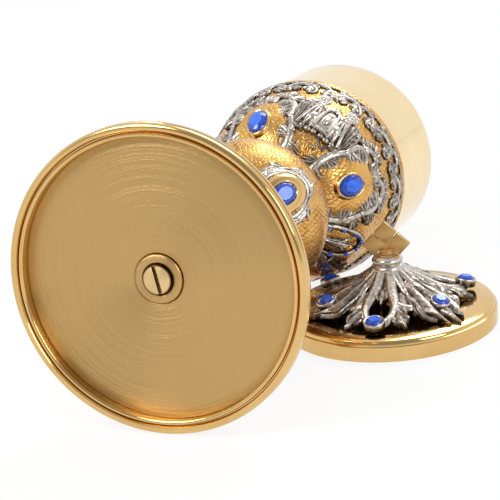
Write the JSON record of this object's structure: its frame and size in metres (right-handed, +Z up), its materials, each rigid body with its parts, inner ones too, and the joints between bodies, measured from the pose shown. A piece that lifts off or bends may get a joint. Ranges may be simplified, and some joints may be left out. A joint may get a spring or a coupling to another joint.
{
  "type": "pyx",
  "caption": "Lidded pyx lying on its side: gilt footed cup with a jewelled knop and silver scrollwork, its cross-topped lid taken off beside it.",
  "frame": {"origin": "on the table, under the middle of the whole laid-out object", "axes": "+Z up; +Y from the foot towards the cup's mouth, along the lying vessel; +X towards the lid"},
  "size_m": [0.1432, 0.2096, 0.1099],
  "materials": {
    "polished_gold": "mirror-polished gilding on turned brass",
    "brushed_gold": "gilt brass with fine turning marks",
    "hammered_gold": "gilding over a hammered, crazed ground",
    "antique_silver": "silvered casting, darkened in its recesses",
    "blue_stone": "cut blue glass stone"
  },
  "bodies": {
    "vessel": {"foot": "polished_gold", "foot_foliage": "antique_silver", "base_plate": "brushed_gold", "boss_ring": "brushed_gold", "tie_screw": "brushed_gold", "stem": "polished_gold", "knop": "hammered_gold", "knop_mounts": "hammered_gold", "knop_frames": "antique_silver", "knop_stones": "blue_stone", "collar": "polished_gold", "cup_stud": "brushed_gold", "calyx": "hammered_gold", "cup": "polished_gold", "cartouches": "antique_silver", "bowl_bezels": "polished_gold", "bowl_stones": "blue_stone", "figures": "antique_silver", "medallions": "hammered_gold", "medal_rims": "antique_silver", "medal_stones": "blue_stone", "scroll_band": "antique_silver"},
    "cover": {"lid": "polished_gold", "lid_foliage": "antique_silver", "lid_bezels": "polished_gold", "lid_stones": "blue_stone", "lid_collar": "antique_silver", "cross": "polished_gold", "lid_nut": "brushed_gold"}
  },
  "joints": [
    {"name": "lid_lift", "type": "slide", "parent": "vessel", "child": "cover", "axis": [0.8944, 0, 0.4472], "range_m": [0, 0.12]}
  ]
}
